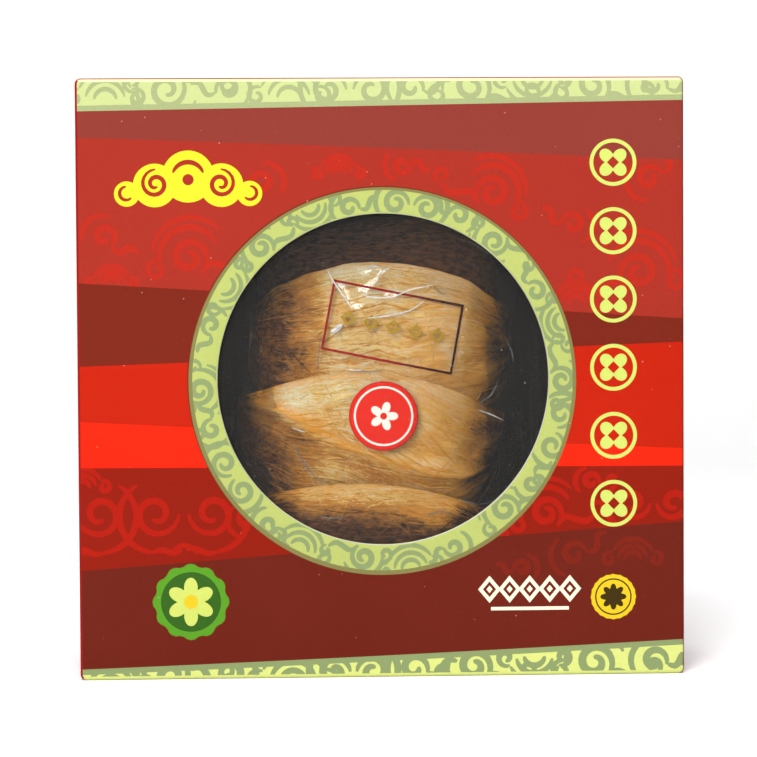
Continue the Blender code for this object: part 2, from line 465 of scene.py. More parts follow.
def stamp_motif(stroke, name, centre, size, turn, mirrored):
    """Outlines of a motif at its place on the panel, drawn with a brush of one width."""
    flip = -1 if mirrored else 1
    cosine, sine = math.cos(math.radians(turn)), math.sin(math.radians(turn))
    outlines = []
    for points, width in MOTIFS[name]:
        placed = []
        for across, up in points:
            across, up = across * size * flip, up * size
            placed.append((centre[0] + across * cosine - up * sine,
                           centre[1] + across * sine + up * cosine))
        outlines.append(ribbon(placed, stroke * width / USUAL_WIDTH))
    return outlines


# %% Where the motifs go: name, place, size, turn, mirrored
STRIPE_SCROLLS = {
    "brick_with_sheen": [
        ("cloud", (-55, 121), 10.5, 8, False), ("wisp", (-79, 127), 8.5, -35, True),
        ("wisp", (-34, 142), 8.5, 15, False), ("crest", (-77, 115), 6.0, 0, False),
        ("cloud", (32, 139), 9.5, -24, True), ("wisp", (55, 130), 8.0, -20, False),
        ("cloud", (74, 116), 11.0, 0, True), ("wisp", (77, 143), 9.0, 40, True),
        ("crest", (56, 109), 7.0, 0, False), ("wisp", (6, 147), 6.5, 180, False),
        ("crest", (-12, 146), 6.0, 0, False),
    ],
    "dark_red": [
        ("pair", (-57, 47), 13.0, 0, False), ("pair", (-89, 47), 13.0, 0, False),
        ("crest", (-86, 57), 6.5, 0, False), ("wisp", (-39, 46), 7.5, 30, True),
        ("cloud", (47, 47), 9.0, 10, False), ("pair", (78, 49), 9.5, 0, False),
        ("wisp", (60, 56), 6.0, 0, True), ("cloud", (29, 39), 7.0, -15, True),
    ],
    "wine": [
        ("wisp", (55, 35), 9.0, 25, True), ("crest", (72, 35), 7.0, 0, False),
        ("wisp", (40, 31), 6.0, 0, False),
    ],
}


RING_MOTIFS = 22


def strip_scrolls(middle_left, middle_right, sizes):
    """Clouds and crests in turn along a green strip."""
    placed = []
    names = ("crest", "cloud", "wisp", "crest", "pair", "wisp", "cloud")
    for number, size in enumerate(sizes):
        across = (number + 0.5) / len(sizes)
        place = (HALF_WIDTH * (2 * across - 1),
                 middle_left + (middle_right - middle_left) * across)
        upside = 180 if number % 3 == 1 else 0
        placed.append((names[number % len(names)], place, size, upside, number % 2 == 1))
    return placed


def ring_scrolls():
    """Motifs that follow one another round the green ring, heads in and out by turns."""
    placed = []
    names = ("cloud", "crest", "wisp", "cloud", "wisp", "pair", "wisp", "crest")
    for number in range(RING_MOTIFS):
        around = 360 * number / RING_MOTIFS + 2.5 * math.sin(number * 2.4)
        reach = (WINDOW_RADIUS + RING_RADIUS) / 2 + 0.9 * math.sin(number * 1.9)
        centre = polar((RING_X, RING_Z), reach, math.radians(around))
        size = 7.2 + 0.7 * math.sin(number * 3.1)
        inward = 180 if number % 2 else 0
        placed.append((names[number % len(names)], centre, size, around - 90 + inward,
                       number % 3 == 0))
    return placed


# %% Ornaments where a maker would put words: all plain, all traditional
def diamond(centre, half_width, half_height):
    x, z = centre
    return [(x - half_width, z), (x, z - half_height), (x + half_width, z), (x, z + half_height)]


def roundel(centre, size):
    """A coin-like roundel: a ring, a four-petalled flower and a small square hole."""
    square = diamond(centre, size * 0.13, size * 0.13)
    return [
        (disc(centre, size * 0.50), "mark_leaf"),
        (disc(centre, size * 0.42), None),
        (blossom(centre, size * 0.36, 4, 0.55, turn=45), "mark_leaf"),
        (square, None),
    ]


def ornaments():
    """Each ornament as layers: an ink, or None where the stripe below shows again."""
    layers = []
    for row in range(6):
        layers += roundel((66.6, 147.5 - 19.6 * row), 13.5)
    knot = (-55.0, 142.5)
    for across, up, radius in ((0, 1.5, 7.4), (-9.5, -1.0, 6.2), (9.5, -1.0, 6.2),
                               (-17.5, -3.4, 3.6), (17.5, -3.4, 3.6)):
        layers.append((disc((knot[0] + across, knot[1] + up), radius), "gold"))
    for side in (-1, 1):
        scroll = spiral((knot[0] + 9.3 * side, knot[1] - 0.6), 4.2, 90, 1.6, -side, 0.2)
        layers.append((ribbon(scroll, 1.3), None))
        tail = bow((knot[0] + 17.6 * side, knot[1] - 3.2), 1.9, 90, 90 - 230 * side)
        layers.append((ribbon(tail, 1.0), None))
    crown = bow((knot[0], knot[1] + 1.0), 4.6, 20, 160)
    layers.append((ribbon(crown, 1.4), None))
    layers.append((disc((knot[0], knot[1] + 0.6), 1.6), None))
    emblem = (-55.2, 22.3)
    layers.append((blossom(emblem, 11.0, 12, 0.10), "emblem_green"))
    layers.append((disc(emblem, 8.6), "emblem_dark"))
    layers.append((blossom(emblem, 7.0, 6, 0.45), "mark_leaf"))
    layers.append((disc(emblem, 2.0), "seal_gold"))
    for number in range(5):
        for reach, layer_ink in ((3.3, "ivory"), (1.9, None), (0.9, "ivory")):
            place = (30.6 + 5.8 * number, 25.0)
            layers.append((diamond(place, reach, reach * 1.2), layer_ink))
    layers.append(([(31.0, 18.9), (53.5, 18.9), (53.5, 19.9), (31.0, 19.9)], "ivory"))
    seal = (66.4, 22.5)
    layers.append((blossom(seal, 6.6, 20, 0.05), "seal_gold"))
    layers.append((disc(seal, 5.3), "seal_line"))
    layers.append((disc(seal, 4.9), "seal_gold"))
    layers.append((blossom(seal, 3.8, 8, 0.40), "seal_line"))
    return layers


# %% All outlines of the print, from the lowest layer to the highest
class Print:
    """Overlapping outlines; a later one covers an earlier one, where its owner allows it."""

    def __init__(self):
        self.outlines = []
        self.inks = []
        self.owners = []
        self.ground_count = 0

    def add(self, outline, ink, owner=None):
        points = [Vector(point).to_2d() for point in outline]
        area = sum(a.x * b.y - b.x * a.y for a, b in zip(points, points[1:] + points[:1]))
        self.outlines.append(points if area > 0 else points[::-1])
        self.inks.append(ink)
        self.owners.append(owner)
        return len(self.outlines) - 1


def rounded_rectangle(half_width, low, high, corner, steps=5):
    points = []
    quarter = [(half_width - corner, high - corner, 0), (corner - half_width, high - corner, 90),
               (corner - half_width, low + corner, 180), (half_width - corner, low + corner, 270)]
    for x, z, start in quarter:
        points += bow((x, z), corner, start, start + 90, steps)
    return points


def draw_print():
    """Stripes, scrolls, ring and ornaments, in millimetres on the panel."""
    sheet = Print()
    upper = [(-HALF_WIDTH * OVERHANG, PANEL_TOP + 5), (HALF_WIDTH * OVERHANG, PANEL_TOP + 5)]
    stripes = {}
    for name, left, right, rise in STRIPE_EDGES:
        lower = stripe_edge(left, right, rise)
        stripes[name] = sheet.add(upper + lower[::-1], name)
        upper = lower
    bottom = [(-HALF_WIDTH * OVERHANG, -5), (HALF_WIDTH * OVERHANG, -5)]
    stripes["foot_leaf"] = sheet.add(upper + bottom[::-1], "foot_leaf")
    for name, motifs in STRIPE_SCROLLS.items():
        for motif in motifs:
            for outline in stamp_motif(BROAD_STROKE, *motif):
                sheet.add(outline, name + "_scroll", stripes[name])
    top_sizes = [9.0, 10.5, 8.5, 9.5, 10.0, 9.0, 10.5, 9.0, 9.5, 10.0]
    rows = (("top_leaf", "top_sage", 168.4, 169.8, top_sizes, STRIPE_EDGES[0], 1, FINE_STROKE),
            ("foot_leaf", "sage", 0.4, 4.2, top_sizes[::-1], STRIPE_EDGES[-1], -1, WIDE_STROKE))
    for owner, sage, left, right, sizes, edge, side, stroke in rows:
        for motif in strip_scrolls(left, right, sizes):
            for outline in stamp_motif(stroke, *motif):
                sheet.add(outline, sage, stripes[owner])
        line = stripe_edge(*edge[1:])
        shifted = [(x, z + side * STRIP_LINE) for x, z in line]
        sheet.add(line + shifted[::-1], sage, stripes[owner])
    shade = sheet.add(disc((RING_X - 0.15, RING_Z + 0.15), RING_RADIUS + 0.20, ROUND_STEPS),
                      "shadow_red")
    sheet.add(disc((RING_X, RING_Z), RING_RADIUS, ROUND_STEPS), "olive_line")
    band = disc((RING_X + 0.05, RING_Z + 0.25), RING_RADIUS - RING_LINE * 0.8, ROUND_STEPS)
    ring = sheet.add(band, "ring_leaf", shade)
    for motif in ring_scrolls():
        for outline in stamp_motif(FINE_STROKE, *motif):
            sheet.add(outline, "sage", ring)
    sheet.ground_count = len(sheet.outlines)
    for outline, ink in ornaments():
        sheet.add(outline, ink)
    return sheet


front_print = draw_print()
print("the print has", len(front_print.outlines), "outlines")


# %% Cut the panel along the outlines
def cut_panel(sheet):
    """Triangles of the panel in two dimensions, each with the name of its ink."""
    panel = rounded_rectangle(HALF_WIDTH - FOLD, FOLD, PANEL_TOP - FOLD, CORNER)
    window = disc((WINDOW_X, WINDOW_Z), WINDOW_RADIUS + CRUSH, ROUND_STEPS)
    loops = [[Vector(point) for point in outline] for outline in (panel, window)]
    loops += sheet.outlines
    points, faces = [], []
    for loop in loops:
        faces.append(list(range(len(points), len(points) + len(loop))))
        points += loop
    cut = geometry.delaunay_2d_cdt(points, [], faces, 0, 1e-5, True)
    corners, triangles, sources = cut[0], cut[2], cut[5]
    kept, inks = [], []
    for triangle, inside in zip(triangles, sources):
        inside = set(inside)
        if 0 not in inside or 1 in inside:
            continue
        ink, ground = None, None
        for number in sorted(inside - {0, 1}):
            owner = sheet.owners[number - 2]
            if owner is not None and owner + 2 not in inside:
                continue
            ink = sheet.inks[number - 2] or ground
            if number - 2 < sheet.ground_count:
                ground = ink
        kept.append(triangle)
        inks.append(ink or "wine")
    return corners, kept, inks


corners_2d, panel_triangles, panel_inks = cut_panel(front_print)
print("the panel is cut into", len(panel_triangles), "triangles")

# %% [markdown]
# ## The lid
# The lid is board wrapped in printed paper: a flat front, soft folded edges and four walls. It is
# grown outward from the cut front. Each step extrudes the open rim and moves it: round the
# fold, back along the walls, over the bare edge, and inside again to the window.

# %% Grow the lid from its front
WALL_END = lid_high[1] / MM
FRONT_MM = FRONT_Y / MM
BOARD = 1.5
FOLD_STEPS = 4


def rim_out(point, distance):
    """Direction out of the panel's rounded outline at a rim point, in two dimensions."""
    inner = Vector((min(max(point.x, -HALF_WIDTH + FOLD + CORNER), HALF_WIDTH - FOLD - CORNER),
                    min(max(point.y, FOLD + CORNER), PANEL_TOP - FOLD - CORNER)))
    return (point - inner).normalized() * distance


def grow_lid():
    shell = bmesh.new()
    ink_layer = shell.loops.layers.float_color.new("ink")
    verts = [shell.verts.new((x * MM, FRONT_Y, z * MM)) for x, z in corners_2d]

    def ink_face(face, tint):
        for loop in face.loops:
            loop[ink_layer] = tint

    for triangle, ink in zip(panel_triangles, panel_inks):
        ink_face(shell.faces.new([verts[index] for index in triangle]), INK[ink])
    bmesh.ops.delete(shell, geom=[vert for vert in verts if not vert.link_faces],
                     context="VERTS")
    bmesh.ops.recalc_face_normals(shell, faces=shell.faces)
    if sum(face.normal.y for face in shell.faces) > 0:
        bmesh.ops.reverse_faces(shell, faces=shell.faces)

    rims = [edge for edge in shell.edges if edge.is_boundary]
    hole_rim = [edge for edge in rims
                if math.hypot(edge.verts[0].co.x / MM - WINDOW_X,
                              edge.verts[0].co.z / MM - WINDOW_Z) < WINDOW_RADIUS + 5]
    outer_rim = [edge for edge in rims if edge not in hole_rim]

    def older_ink(face, new_faces):
        """Ink of the face that a new one was extruded from, for print that wraps a fold."""
        beside = [other for edge in face.edges for other in edge.link_faces]
        older = [other for other in beside if other not in new_faces]
        return older[0].loops[0][ink_layer].copy()

    def extrude(edges, mover, choice):
        """Extrudes edges; the choice is an ink, or a function that names one for a face."""
        grown = bmesh.ops.extrude_edge_only(shell, edges=edges)["geom"]
        for vert in only(bmesh.types.BMVert, grown):
            vert.co = mover(vert.co)
        new_faces = only(bmesh.types.BMFace, grown)
        for face in new_faces:
            ink = choice(face) if callable(choice) else choice
            ink_face(face, INK[ink] if ink else older_ink(face, new_faces))
        return [edge for edge in only(bmesh.types.BMEdge, grown) if edge.is_boundary]

    def fold_ink(face):
        middle = face.calc_center_median() / MM
        on_top = middle.z > PANEL_TOP - FOLD and abs(middle.x) < HALF_WIDTH - FOLD
        on_foot = middle.z < FOLD and abs(middle.x) < HALF_WIDTH - FOLD
        depth = (middle.y - FRONT_MM) / FOLD
        # The front of the top fold gets a painted highlight in cream.
        if on_top and depth < 0.30:
            return "fold_cream"
        if on_foot and depth < 0.75:
            return "foot_leaf"
        wrapped = 0.30 if middle.x > 0 else 0.10
        return None if depth < wrapped and not on_top and not on_foot else "wrap_red"

    turned = 0.0
    for step in range(1, FOLD_STEPS + 1):
        angle = math.pi / 2 * step / FOLD_STEPS
        out = FOLD * (math.sin(angle) - math.sin(turned)) * MM
        back = FOLD * (math.cos(turned) - math.cos(angle)) * MM
        turned = angle

        def around_fold(co, out=out, back=back):
            side = rim_out(Vector((co.x, co.z)) / MM, out)
            return Vector((co.x + side.x, co.y + back, co.z + side.y))

        outer_rim = extrude(outer_rim, around_fold, fold_ink)

    def wall_to(depth):
        def move(co):
            return Vector((co.x, depth * MM, co.z))
        return move

    for depth in (-20.0, -5.0, 12.0, WALL_END):
        outer_rim = extrude(outer_rim, wall_to(depth), "wrap_red")

    def inward(co):
        side = rim_out(Vector((co.x, co.z)) / MM, BOARD * MM)
        return Vector((co.x - side.x, co.y, co.z - side.y))

    outer_rim = extrude(outer_rim, inward, "wrap_red")
    outer_rim = extrude(outer_rim, wall_to(FRONT_MM + BOARD), "grey_board")

    def hole_to(radius, depth):
        def move(co):
            side = Vector((co.x / MM - WINDOW_X, co.z / MM - WINDOW_Z)).normalized() * radius
            return Vector(((WINDOW_X + side.x) * MM, depth * MM, (WINDOW_Z + side.y) * MM))
        return move

    profile = [(WINDOW_RADIUS + CRUSH * 0.3, FRONT_MM + CRUSH * 0.3),
               (WINDOW_RADIUS, FRONT_MM + CRUSH), (WINDOW_RADIUS, FRONT_MM + BOARD)]
    for (radius, depth), ink in zip(profile, ("ring_leaf", "white_board", "white_board")):
        hole_rim = extrude(hole_rim, hole_to(radius, depth), ink)
    inside = bmesh.ops.triangle_fill(shell, edges=outer_rim + hole_rim, use_beauty=True,
                                     use_dissolve=False)["geom"]
    for face in only(bmesh.types.BMFace, inside):
        face.normal_update()
        if face.normal.y < 0:
            face.normal_flip()
        ink_face(face, INK["grey_board"])
    return shell


lid_builder = grow_lid()
open_edges = sum(1 for edge in lid_builder.edges if not edge.is_manifold)
print("lid", len(lid_builder.faces), "faces,", open_edges, "open edges")

# %% Printed paper: satin ink, fine tooth, dust and faint scuffs
printed = Finish("printed_paper", Roughness=0.42, Specular_IOR_Level=0.16)
where = printed.place()[1]
ink = printed.attribute("ink").outputs["Color"]
mottle = printed.noise(where, 900, 4.0, 0.6)
cloudy = printed.noise(where, 28, 3.0, 0.5)
dusty = printed.flecks(where, 760, 0.016)
shade = mottle * 0.16 + cloudy * 0.14 + 0.85
grain = printed.node("ShaderNodeCombineColor", None, {0: shade, 1: shade, 2: shade}).outputs[0]
inked = printed.mix(1.0, ink, grain, "MULTIPLY")
inked = printed.mix(dusty * 0.35, inked, paint(215, 170, 150))
printed.set("Base Color", inked)
printed.set("Roughness", mottle * 0.16 + cloudy * 0.10 + 0.30)
tooth = printed.noise(where, 1500, 2.0, 0.5) * 0.6 + printed.noise(where, 160, 2.0, 0.5)
printed.bump(tooth, 0.00006, 0.6)

lid_piece = add_piece("printed_lid", lid_builder, printed, 30)
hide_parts("lid")

# %% [markdown]
# ## The base tray
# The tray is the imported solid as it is. Outside it wears the same red paper as the lid's walls,
# inside it is lined with black paper, so one material looks at where a point lies.

# %% Base: red outside, black inside
tray = Finish("wrapped_tray", Roughness=0.55, Specular_IOR_Level=0.2)
(tx, ty, tz), where = tray.place()
margin = 0.0002
outside = ((abs(tx) > base_high[0] - margin).most(ty > base_high[1] - 0.0009)
           .most(tz > base_high[2] - margin).most(tz < base_low[2] + margin))
mottle = tray.noise(where, 900, 4.0, 0.6)
fibres = tray.noise(tray.stretch(where, (1, 1, 0.2)), 700, 4.0, 0.6)
red = tray.mix(mottle, paint(158, 18, 16), paint(186, 26, 22))
black = tray.mix(fibres, paint(52, 48, 50), paint(80, 74, 74))
tray.set("Base Color", tray.mix(outside, black, red))
tray.set("Roughness", mottle * 0.2 + 0.42)
tray.bump(mottle + fibres * 0.5, 0.00005, 0.6)
dress_node("base", tray)

# %% [markdown]
# ## The window
# A thin clear film closes the window. Most light goes straight through it. What one sees of it
# is a little gloss, some dust and a few fine scratches, so the material mixes a see-through
# shader with a glossy one by the Fresnel share, and with a pale diffuse layer: dust by small
# specks, scratches by streaks, and a painted sheen that stands in for reflections, faint
# everywhere and stronger at grazing angles.

# %% Clear film
def clear_film(name, gloss_roughness, haze_and_sheen, grazing_sheen, dust_share, crinkle=0.0):
    """A see-through film with a glossy skin; returns the finish and its surface shader."""
    film = Finish(name)
    where = film.place()[1]
    skin = film.node("ShaderNodeBsdfAnisotropic", None,
                     {"Color": (1, 1, 1, 1), "Roughness": gloss_roughness})
    through = film.node("ShaderNodeBsdfTransparent", None, {"Color": (0.996, 0.996, 0.993, 1)})
    fresnel = Value(film, film.node("ShaderNodeFresnel", None, {"IOR": 1.5}).outputs[0])
    surface = film.blend_shaders((fresnel * 0.6).least(0.9), through.outputs[0],
                                 skin.outputs[0])
    specks = film.flecks(where, 900, dust_share)
    streak = film.noise(film.stretch(where, (1, 1, 6)), 160, 4.0, 0.7).ramp(0.66, 0.72)
    facing = film.node("ShaderNodeLayerWeight", None, {"Blend": 0.35}).outputs["Facing"]
    dust_and_sheen = film.node("ShaderNodeBsdfDiffuse", None, {"Color": (0.9, 0.88, 0.84, 1)})
    # Painted sheen: a pale diffuse layer that stands in for the film's reflections, faint
    # everywhere and stronger at grazing angles.
    painted_sheen = Value(film, facing) ** 3 * grazing_sheen + haze_and_sheen
    surface = film.blend_shaders((specks * 0.3 + streak * 0.015 + painted_sheen).least(0.6), surface,
                                 dust_and_sheen.outputs[0])
    if crinkle > 0:
        film.bump(film.noise(where, 240, 3.0, 0.55), crinkle, shader=skin)
    return film, surface


window_finish, window_surface = clear_film("window_film", 0.06, 0.010, 0.0, 0.03)
window_finish.finish_with(window_surface)
dress_node("window_film", window_finish)

# %% [markdown]
# ## The nests
# A swiftlet draws threads of saliva from one foot of the nest to the other, so the strands run
# like the meridians of a half cup: they meet at the two feet and spread over its belly. Each
# nest is built as it grew. A shell of two grids, bridged round their edge, gives the body with
# its coarse bundles, and up to 1,600 strands follow the same meridians over it, each with
# its own width, tone, start, end and drift. The strands are curves with a bevel, which makes
# round threads with few faces.

# %% The cups: the same named sizes and places as the solids
# Besides size and place, each nest carries painted shade: darker feet, a darker lower part, a
# darker lower left corner on the middle nest, and an overall shade for nests that sit deep or low
# in the box.
NESTS = {
    "nest_top": {
        "half_span": 0.0395, "reach": 0.030, "drop": 0.034, "rim_lift": 12,
        "lean": 34, "roll": 2, "yaw": 0, "middle": (0.0010, 0.0120, 0.0972), "seed": 1.7,
        "sweep": -0.05, "strands": 1500, "painted_feet_shade": (0.58, 0.80), "shade": 0.0,
    },
    "nest_middle": {
        "half_span": 0.0400, "reach": 0.031, "drop": 0.040, "rim_lift": 14,
        "lean": 3, "roll": 4, "yaw": 0, "middle": (-0.0020, 0.0070, 0.0768), "seed": 11.4,
        "sweep": 0.17, "strands": 1600, "painted_feet_shade": (0.86, 0.78), "shade": 0.0,
        "cord": True, "painted_corner_shade": 1.0,
    },
    "nest_bottom": {
        "half_span": 0.0395, "reach": 0.031, "drop": 0.040, "rim_lift": 10,
        "lean": 3, "roll": 4, "yaw": 0, "middle": (-0.0020, 0.0042, 0.0472), "seed": 23.9,
        "sweep": 0.04, "strands": 1300, "painted_feet_shade": (0.64, 0.70), "shade": -0.20,
        "painted_shade_below": 1.5,
    },
    "nest_back_upper": {
        "half_span": 0.0370, "reach": 0.026, "drop": 0.030, "rim_lift": 12,
        "lean": 34, "roll": -3, "yaw": 0, "middle": (0.0010, 0.0225, 0.1130), "seed": 37.2,
        "sweep": 0.03, "strands": 500, "painted_feet_shade": (0.60, 0.60), "shade": -1.80,
    },
    "nest_back_lower": {
        "half_span": 0.0370, "reach": 0.0175, "drop": 0.036, "rim_lift": 12,
        "lean": 0, "roll": -3, "yaw": 180, "middle": (0.0010, 0.0090, 0.0640), "seed": 51.6,
        "sweep": 0.0, "strands": 260, "painted_feet_shade": (0.80, 0.80), "shade": -0.60,
    },
}
WRAP = math.radians(92)
NEST_WALL = 0.0045
FOOT_WALL = 0.0030
FOOT_SHARE = 0.24
LUMP = 0.0012


def nest_place(nest):
    return (Matrix.Translation(nest["middle"])
            @ Matrix.Rotation(math.radians(nest["yaw"]), 4, "Z")
            @ Matrix.Rotation(math.radians(nest["roll"]), 4, "Y")
            @ Matrix.Rotation(-math.radians(nest["lean"]), 4, "X"))


def rough(x, y, z):
    """Smooth noise of about -1 to 1."""
    return noise.noise(Vector((x, y, z)))


def rim_angle(nest, share):
    return -math.radians(nest["rim_lift"]) * (1 - share * share)


def on_nest(nest, share, part, depth):
    """Point of a nest in its own frame.

    share runs from -1 at the left foot to 1 at the right one, part from 0 at the rim to 1 at
    the lower edge, and depth is how far in from the outer skin the point lies, in metres.
    """
    swell = (1 - min(1.0, abs(share)) ** 2.8) ** 0.5
    body = FOOT_SHARE + (1 - FOOT_SHARE) * swell
    rim_turn = rim_angle(nest, share)
    turn = rim_turn + (WRAP - rim_turn) * part
    lump = rough(share * 2.2, turn * 1.6, nest["seed"])
    deep = nest["reach"] * body + LUMP * lump - depth
    tall = nest["drop"] * body + LUMP * lump - depth
    return Vector((nest["half_span"] * share, -deep * math.cos(turn), -tall * math.sin(turn)))


def flow_part(nest, share, part):
    """Where a strand that starts level at part runs at share: the strands sweep aslant."""
    return part + nest["sweep"] * share * 4 * part * (1 - part)


def flow_start(nest, share, part):
    """The level whose strand passes through share and part."""
    level = part
    for attempt in range(4):
        level = part - nest["sweep"] * share * 4 * level * (1 - level)
    return level


def sway(nest, share, level):
    """How far the strands near a level all stray from it together."""
    return 0.035 * rough(share * 2.6, level * 5.0, nest["seed"] + 9)


def within_rims(part):
    """A part of the outer skin as a part of the wall, which ends a little inside both edges."""
    return 0.012 + 0.976 * part


def nest_spot(nest, place):
    """Share and part of a point near a nest's skin, in the nest's own frame."""
    share = min(0.999, max(-0.999, place.x / nest["half_span"]))
    turn = math.atan2(-place.z / nest["drop"], -place.y / nest["reach"])
    rim_turn = rim_angle(nest, share)
    part = (turn - rim_turn) / (WRAP - rim_turn)
    return share, min(1.0, max(0.0, part))


# %% Relief and tone of a nest's skin
BUNDLES = [(2.4, 7.0, 1.00), (5.0, 15.0, 0.60), (11.0, 34.0, 0.24)]
CORD_SHARES = (-1.0, -0.90, -0.50, -0.18, 0.20, 0.50, 0.80, 1.0)
CORD_PARTS = (0.03, 0.05, 0.20, 0.30, 0.36, 0.39, 0.42, 0.43)
CORD_WIDTH = 0.034
FOOT_LUMP = 2.4


def cord_near(nest, share, part):
    """1 on the thick cord that crosses one of the nests, 0 away from it."""
    if not nest.get("cord"):
        return 0.0
    gap = part - float(np.interp(share, CORD_SHARES, CORD_PARTS))
    return math.exp(-(gap / CORD_WIDTH) ** 2) * smooth_step(0.98, 0.80, abs(share))


def skin_relief(nest, share, part):
    """Height of the matted strand bundles over the bed, in millimetres."""
    level = flow_start(nest, share, part)
    level += sway(nest, share, level)
    high = 3.0 * cord_near(nest, share, part)
    for number, (along, over, height) in enumerate(BUNDLES):
        ridge = rough(share * along + number * 7.1, level * over, nest["seed"])
        high += height * (0.55 - 1.5 * abs(ridge))
    knobbly = rough(share * 7.0, part * 6.0, nest["seed"] + 2)
    return high + FOOT_LUMP * knobbly * smooth_step(0.35, 0.85, abs(share))


def skin_tone(nest, share, part):
    """Tone of the strands here, 0 for amber to 1 for pale; below 0 it is brown. Apart from its
    blotches, its darkening is painted shade: towards the feet, low on the nest, under the cord, in
    one lower corner, and over whole nests that sit deep or low in the box.
    """
    start = nest["painted_feet_shade"][0 if share < 0 else 1]
    blotch = rough(share * 5.0, part * 7.0, nest["seed"] + 4)
    foot = smooth_step(start - 0.22, start + 0.20, abs(share) + 0.16 * blotch)
    below = nest.get("painted_shade_below", 0.25) * smooth_step(0.02, 0.22, part + 0.03 * blotch)
    # Painted shadow on the strands just under the cord.
    painted_shadow_under_cord = 0.35 * cord_near(nest, share, part - 2 * CORD_WIDTH)
    corner = smooth_step(-0.30, -0.62, share) * smooth_step(0.16, 0.34, part)
    return (nest["shade"] + 0.25 * blotch - 1.25 * foot - below - painted_shadow_under_cord
            - nest.get("painted_corner_shade", 0.0) * corner)


def skin_gold(nest, share, part):
    """How golden the strands are: the rim and the cord are, and the right side a little."""
    rim = math.exp(-(part / 0.035) ** 2) * 0.8
    side = 0.75 * smooth_step(-0.2, 0.6, share)
    return max(rim, side, 1.1 * cord_near(nest, share, part))


# %% Nest body: two grids, one inside the other, bridged round their edge
BODY_STATIONS = 110
BODY_STEPS = 84
STRAND_BED = 0.0009
RELIEF = 0.7
FOOT_END = 0.985


def nest_skin(shell, nest, tone_layer, inside):
    """Adds one side of a nest's wall."""
    skin = bmesh.ops.create_grid(shell, x_segments=BODY_STATIONS, y_segments=BODY_STEPS,
                                 size=1.0)["verts"]
    for vert in skin:
        share = FOOT_END * math.sin(math.pi / 2 * vert.co.x)
        part = (vert.co.y + 1) / 2
        high = skin_relief(nest, share, part)
        wall = NEST_WALL + FOOT_WALL * abs(share) ** 3
        edge = 1 - 0.60 * abs(2 * part - 1) ** 5
        round_end = 1 - math.sqrt(1 - smooth_step(0.90, 1.0, abs(vert.co.x)) ** 2 * 0.98)
        depth = STRAND_BED - high * MM * RELIEF + round_end * wall * 0.5
        if inside:
            depth = wall * edge + high * MM * 0.4 - round_end * wall * 0.5
        tint = rough(share * 3.3, part * 14.0, nest["seed"] + 5)
        # Raised bundles are paler, partly as denser strands and partly as painted shade in the
        # crevices between them; the inside of the wall is darker.
        vert[tone_layer] = 0.45 + 0.4 * tint + 0.16 * high - (0.25 if inside else 0.0)
        vert.co = on_nest(nest, share, within_rims(part), depth)


def nest_body(nest):
    """Closed shell of one nest, with the tone of its skin on each vertex."""
    shell = bmesh.new()
    tone_layer = shell.verts.layers.float.new("tone")
    for inside in (False, True):
        nest_skin(shell, nest, tone_layer, inside)
    rims = [edge for edge in shell.edges if edge.is_boundary]
    bmesh.ops.bridge_loops(shell, edges=rims)
    bmesh.ops.recalc_face_normals(shell, faces=shell.faces)
    return shell


# %% Strands: where each thread starts, ends and drifts
TONES = 6
RIM_STRANDS = 0.12
LONG_STRANDS = 0.40
STRAY_STRANDS = 0.74


def strand_points(nest, draw, level, start, end, lift, drift, steps):
    """Points of one strand over the outer skin of a nest."""
    phase = draw.uniform(0, 50)
    points = []
    for step in range(steps + 1):
        along = step / steps
        share = start + (end - start) * along
        wander = rough(share * 3.4, phase, nest["seed"])
        wiggle = rough(share * 13.0, phase, nest["seed"] + 3)
        part = flow_part(nest, share, level - sway(nest, share, level)) + drift * (along - 0.5)
        part = min(1.0, max(0.0, part + 0.034 * wander + 0.012 * wiggle))
        high = skin_relief(nest, share, part)
        depth = STRAND_BED - high * MM * RELIEF - lift + 0.00018 * wiggle
        points.append(on_nest(nest, share, within_rims(part), depth))
    return points


def draw_strand(nest, draw):
    """Chooses one strand: its points, its radius and its tone."""
    kind = draw.random()
    level = draw.random()
    if kind < RIM_STRANDS:
        level = abs(draw.gauss(0, 0.02))
    length = draw.uniform(0.25, 1.1) if kind < LONG_STRANDS else draw.uniform(0.08, 0.35)
    middle = draw.uniform(-0.96 + length / 2, 0.96 - length / 2)
    drift = draw.gauss(0, 0.03)
    radius = 0.00009 + 0.00030 * draw.random() ** 3
    lift = draw.uniform(-0.6, 0.5) * radius
    if kind > STRAY_STRANDS:
        drift = draw.gauss(0, 0.15)
        radius *= 0.7
        lift += 0.0001
    steps = max(8, int(15 * length))
    points = strand_points(nest, draw, level, middle - length / 2, middle + length / 2,
                           lift, drift, steps)
    return points, radius, min(0.999, max(0.0, draw.gauss(0.56, 0.17)))


def thread_curve():
    """An empty curve whose splines become round threads."""
    curve = bpy.data.curves.new("threads", "CURVE")
    curve.dimensions = "3D"
    curve.bevel_depth = 1.0
    curve.bevel_resolution = 0
    curve.use_fill_caps = True
    return curve


def add_thread(curve, points, radius, blunt=0.3):
    """Adds one thread along points, thinner at its ends."""
    spline = curve.splines.new("POLY")
    spline.points.add(len(points) - 1)
    for step, (knot, point) in enumerate(zip(spline.points, points)):
        along = step / (len(points) - 1)
        knot.co = (*point, 1)
        knot.radius = radius * (blunt + (1 - blunt) * math.sin(math.pi * along) ** 0.4)


def add_threads_mesh(builder, curve):
    """Adds the threads of a curve to a bmesh and returns their new vertices."""
    holder = bpy.data.objects.new("threads", curve)
    scene.collection.objects.link(holder)
    threads = bpy.data.meshes.new_from_object(
        holder.evaluated_get(bpy.context.evaluated_depsgraph_get()))
    bpy.data.objects.remove(holder)
    before = len(builder.verts)
    builder.from_mesh(threads)
    builder.verts.ensure_lookup_table()
    return builder.verts[before:]


